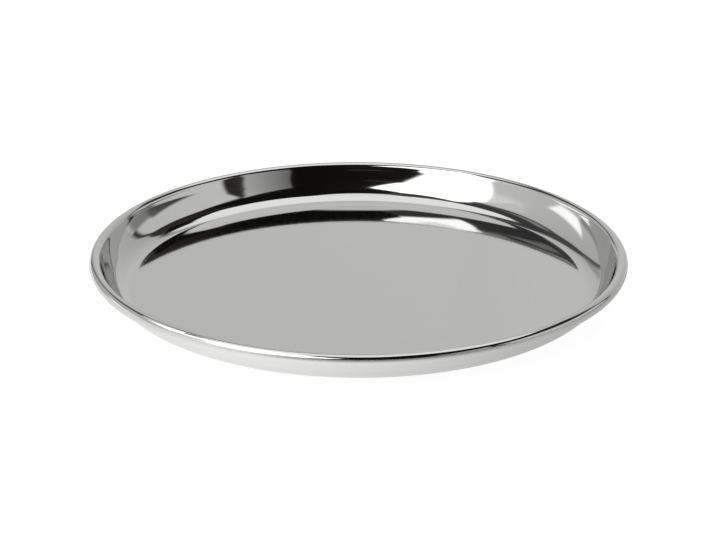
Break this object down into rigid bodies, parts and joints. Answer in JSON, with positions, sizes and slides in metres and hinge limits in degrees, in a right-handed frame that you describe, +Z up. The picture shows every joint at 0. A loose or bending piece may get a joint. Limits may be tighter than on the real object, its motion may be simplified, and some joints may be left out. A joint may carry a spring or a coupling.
{
  "type": "serving tray",
  "caption": "Round polished metal serving tray with a flat base, a coved sloping wall and a rolled round rim, for carrying drinks and dishes.",
  "frame": {"origin": "middle of the flat underside, on the surface that the tray lies on", "axes": "+Z up along the tray's axis of revolution, out of the serving side; X and Y lie in the base and are interchangeable"},
  "size_m": [0.38, 0.38, 0.026],
  "materials": {
    "polished_sheet": "mirror-polished stainless steel on the serving side, satin on the back",
    "drawn_wire": "bright drawn steel wire"
  },
  "bodies": {
    "root": {"tray_pan": "polished_sheet", "rim_wire": "drawn_wire"}
  },
  "joints": []
}
